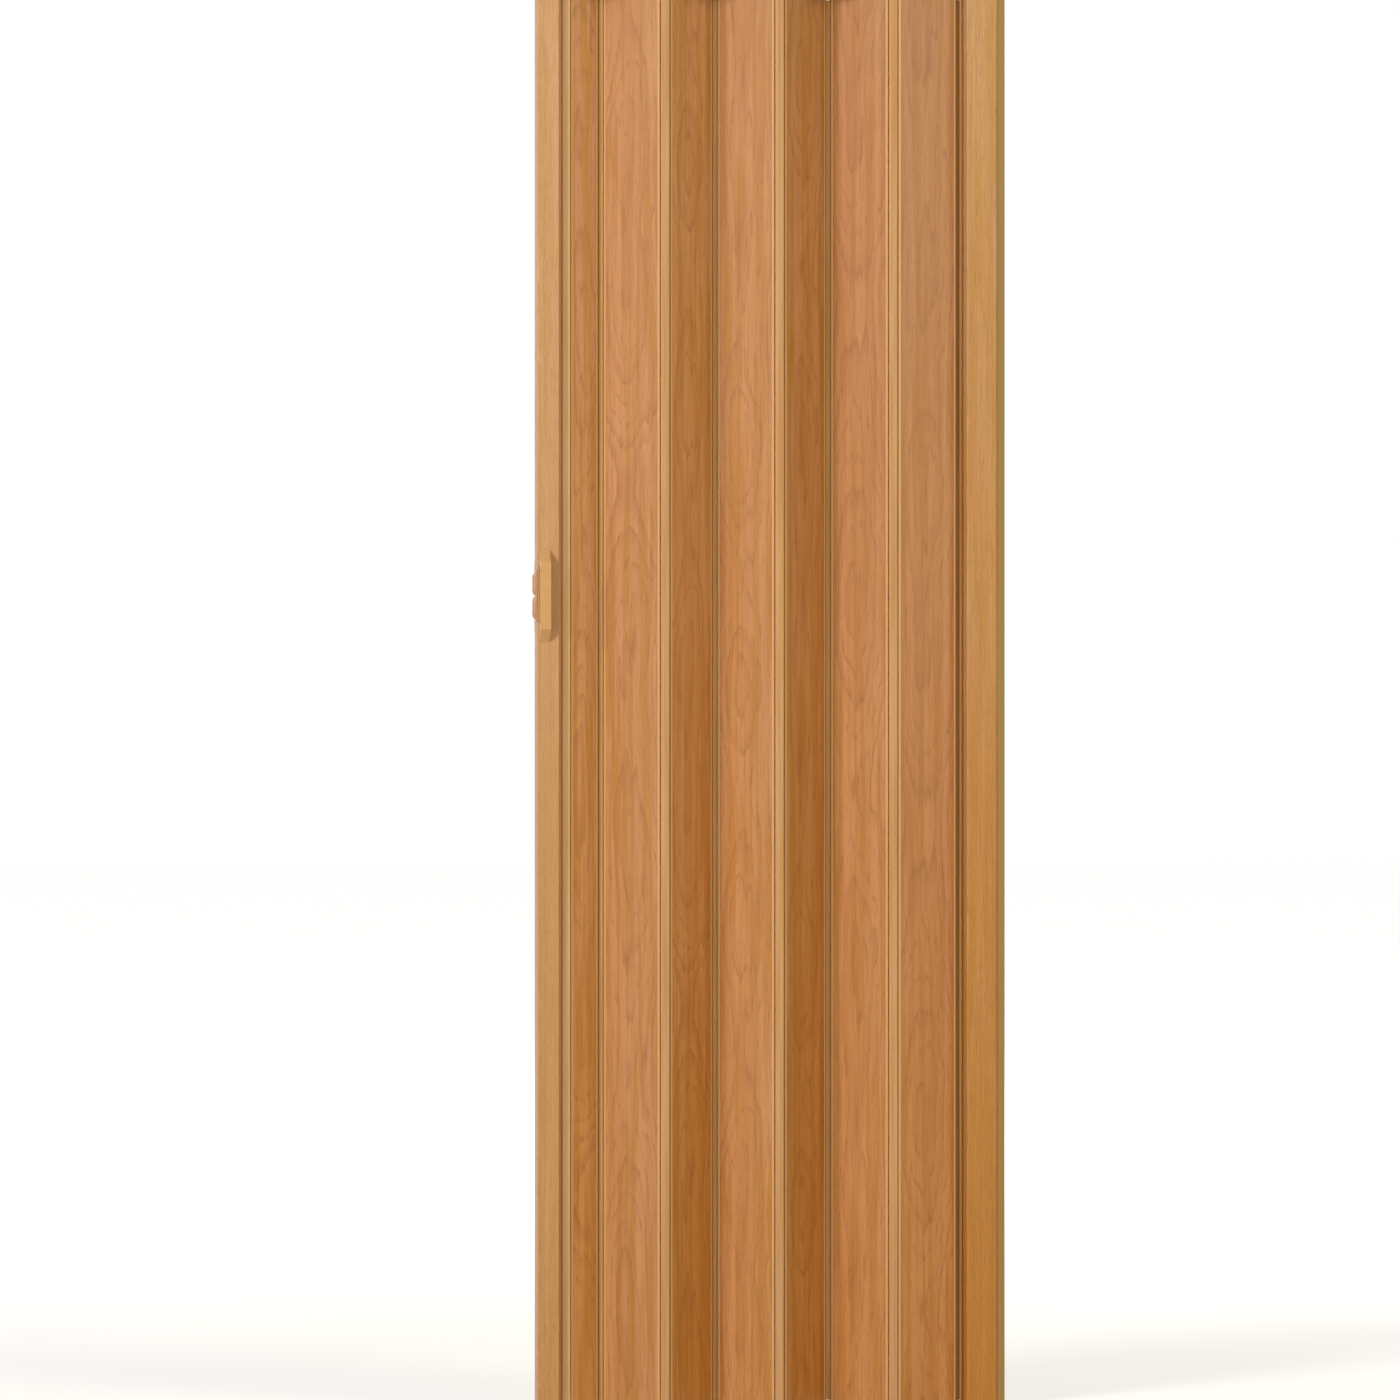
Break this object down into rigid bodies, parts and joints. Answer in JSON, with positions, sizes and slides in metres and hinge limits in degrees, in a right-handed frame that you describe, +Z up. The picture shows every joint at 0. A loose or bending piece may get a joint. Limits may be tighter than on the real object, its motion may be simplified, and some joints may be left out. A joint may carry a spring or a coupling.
{
  "type": "folding door",
  "caption": "Wood-grained plastic accordion door: a leaf of hinged panels hangs from a top track and folds against one wall; pull handles and a snap catch on the lead post.",
  "frame": {"origin": "middle of the track's top face, where it meets the head of the opening; the floor is 2.05 m below it", "axes": "+Z up, out of the track's top face; +X along the track, towards the wall that the fixed post snaps to; -Y to the front, the side the picture shows"},
  "size_m": [0.82, 0.0748, 2.05],
  "materials": {
    "panel_foil": "satin wood-grained PVC",
    "post_foil": "satin wood-grained PVC",
    "soft_hinge": "smooth soft PVC",
    "handle_plastic": "moulded plastic with a low sheen",
    "track_plastic": "extruded PVC",
    "glider_nylon": "moulded nylon",
    "zinc_steel": "zinc-plated"
  },
  "bodies": {
    "fixed_side": {"top_track": "track_plastic", "wall_jamb": "track_plastic", "fixed_post": "post_foil", "hinge_strip_8": "soft_hinge"},
    "panel_6": {"panel_6": "panel_foil"},
    "strip_7": {"hinge_strip_7": "soft_hinge"},
    "panel_5": {"panel_5": "panel_foil", "glider_5": "glider_nylon"},
    "strip_6": {"hinge_strip_6": "soft_hinge"},
    "panel_4": {"panel_4": "panel_foil", "glider_4": "glider_nylon"},
    "strip_5": {"hinge_strip_5": "soft_hinge"},
    "panel_3": {"panel_3": "panel_foil", "glider_3": "glider_nylon"},
    "strip_4": {"hinge_strip_4": "soft_hinge"},
    "panel_2": {"panel_2": "panel_foil", "glider_2": "glider_nylon"},
    "strip_3": {"hinge_strip_3": "soft_hinge"},
    "panel_1": {"panel_1": "panel_foil", "glider_1": "glider_nylon"},
    "strip_2": {"hinge_strip_2": "soft_hinge"},
    "half_panel": {"half_panel": "panel_foil"},
    "lead": {"hinge_strip_1": "soft_hinge", "lead_post": "post_foil", "lead_glider": "glider_nylon", "lead_foot_cap": "handle_plastic", "front_handle": "handle_plastic", "back_handle": "handle_plastic", "handle_screw_upper": "zinc_steel", "handle_screw_lower": "zinc_steel", "catch_case": "handle_plastic", "catch_back_plate": "handle_plastic", "catch_spring_upper": "zinc_steel", "catch_spring_lower": "zinc_steel"},
    "nose_upper": {"catch_nose_upper": "handle_plastic"},
    "nose_lower": {"catch_nose_lower": "handle_plastic"}
  },
  "joints": [
    {"name": "fixed_post_hinge", "type": "hinge", "parent": "fixed_side", "child": "panel_6", "pos_m": [0.3453, 0.004, 0], "axis": [0, 0, 1], "range_deg": [-10.7, 13.2]},
    {"name": "ridge_7_right", "type": "hinge", "parent": "panel_6", "child": "strip_7", "pos_m": [0.2493, -0.03046, 0], "axis": [0, 0, 1], "range_deg": [-13.2, 10.7]},
    {"name": "ridge_7_left", "type": "hinge", "parent": "strip_7", "child": "panel_5", "pos_m": [0.2423, -0.03046, 0], "axis": [0, 0, 1], "range_deg": [-37.5, 30.5]},
    {"name": "valley_6_right", "type": "hinge", "parent": "panel_5", "child": "strip_6", "pos_m": [0.16709, 0.03846, 0], "axis": [0, 0, 1], "range_deg": [-30.5, 37.5]},
    {"name": "valley_6_left", "type": "hinge", "parent": "strip_6", "child": "panel_4", "pos_m": [0.16009, 0.03846, 0], "axis": [0, 0, 1], "range_deg": [-30.5, 37.5]},
    {"name": "ridge_5_right", "type": "hinge", "parent": "panel_4", "child": "strip_5", "pos_m": [0.08489, -0.03046, 0], "axis": [0, 0, 1], "range_deg": [-37.5, 30.5]},
    {"name": "ridge_5_left", "type": "hinge", "parent": "strip_5", "child": "panel_3", "pos_m": [0.07789, -0.03046, 0], "axis": [0, 0, 1], "range_deg": [-37.5, 30.5]},
    {"name": "valley_4_right", "type": "hinge", "parent": "panel_3", "child": "strip_4", "pos_m": [0.00269, 0.03846, 0], "axis": [0, 0, 1], "range_deg": [-30.5, 37.5]},
    {"name": "valley_4_left", "type": "hinge", "parent": "strip_4", "child": "panel_2", "pos_m": [-0.00431, 0.03846, 0], "axis": [0, 0, 1], "range_deg": [-30.5, 37.5]},
    {"name": "ridge_3_right", "type": "hinge", "parent": "panel_2", "child": "strip_3", "pos_m": [-0.07951, -0.03046, 0], "axis": [0, 0, 1], "range_deg": [-37.5, 30.5]},
    {"name": "ridge_3_left", "type": "hinge", "parent": "strip_3", "child": "panel_1", "pos_m": [-0.08651, -0.03046, 0], "axis": [0, 0, 1], "range_deg": [-37.5, 30.5]},
    {"name": "valley_2_right", "type": "hinge", "parent": "panel_1", "child": "strip_2", "pos_m": [-0.16172, 0.03846, 0], "axis": [0, 0, 1], "range_deg": [-30.5, 37.5]},
    {"name": "valley_2_left", "type": "hinge", "parent": "strip_2", "child": "half_panel", "pos_m": [-0.16872, 0.03846, 0], "axis": [0, 0, 1], "range_deg": [-23.4, 28.8]},
    {"name": "door_fold", "type": "hinge", "parent": "half_panel", "child": "lead", "pos_m": [-0.21661, 0.004, 0], "axis": [0, 0, -1], "range_deg": [-23.4, 28.8]},
    {"name": "nose_upper_press", "type": "slide", "parent": "lead", "child": "nose_upper", "axis": [1, 0, 0], "range_m": [0, 0.0042], "stiffness_N_per_m": 300, "springref_m": -0.002, "deforming": ["catch_spring_upper"]},
    {"name": "nose_lower_press", "type": "slide", "parent": "lead", "child": "nose_lower", "axis": [1, 0, 0], "range_m": [0, 0.0042], "stiffness_N_per_m": 300, "springref_m": -0.002, "deforming": ["catch_spring_lower"]}
  ],
  "couplings": [
    {"joint": "fixed_post_hinge", "follows": "door_fold", "ratio": 0.455},
    {"joint": "ridge_7_right", "follows": "door_fold", "ratio": -0.455},
    {"joint": "ridge_7_left", "follows": "door_fold", "ratio": -1.3},
    {"joint": "valley_6_right", "follows": "door_fold", "ratio": 1.3},
    {"joint": "valley_6_left", "follows": "door_fold", "ratio": 1.3},
    {"joint": "ridge_5_right", "follows": "door_fold", "ratio": -1.3},
    {"joint": "ridge_5_left", "follows": "door_fold", "ratio": -1.3},
    {"joint": "valley_4_right", "follows": "door_fold", "ratio": 1.3},
    {"joint": "valley_4_left", "follows": "door_fold", "ratio": 1.3},
    {"joint": "ridge_3_right", "follows": "door_fold", "ratio": -1.3},
    {"joint": "ridge_3_left", "follows": "door_fold", "ratio": -1.3},
    {"joint": "valley_2_right", "follows": "door_fold", "ratio": 1.3},
    {"joint": "valley_2_left", "follows": "door_fold", "ratio": 1}
  ]
}
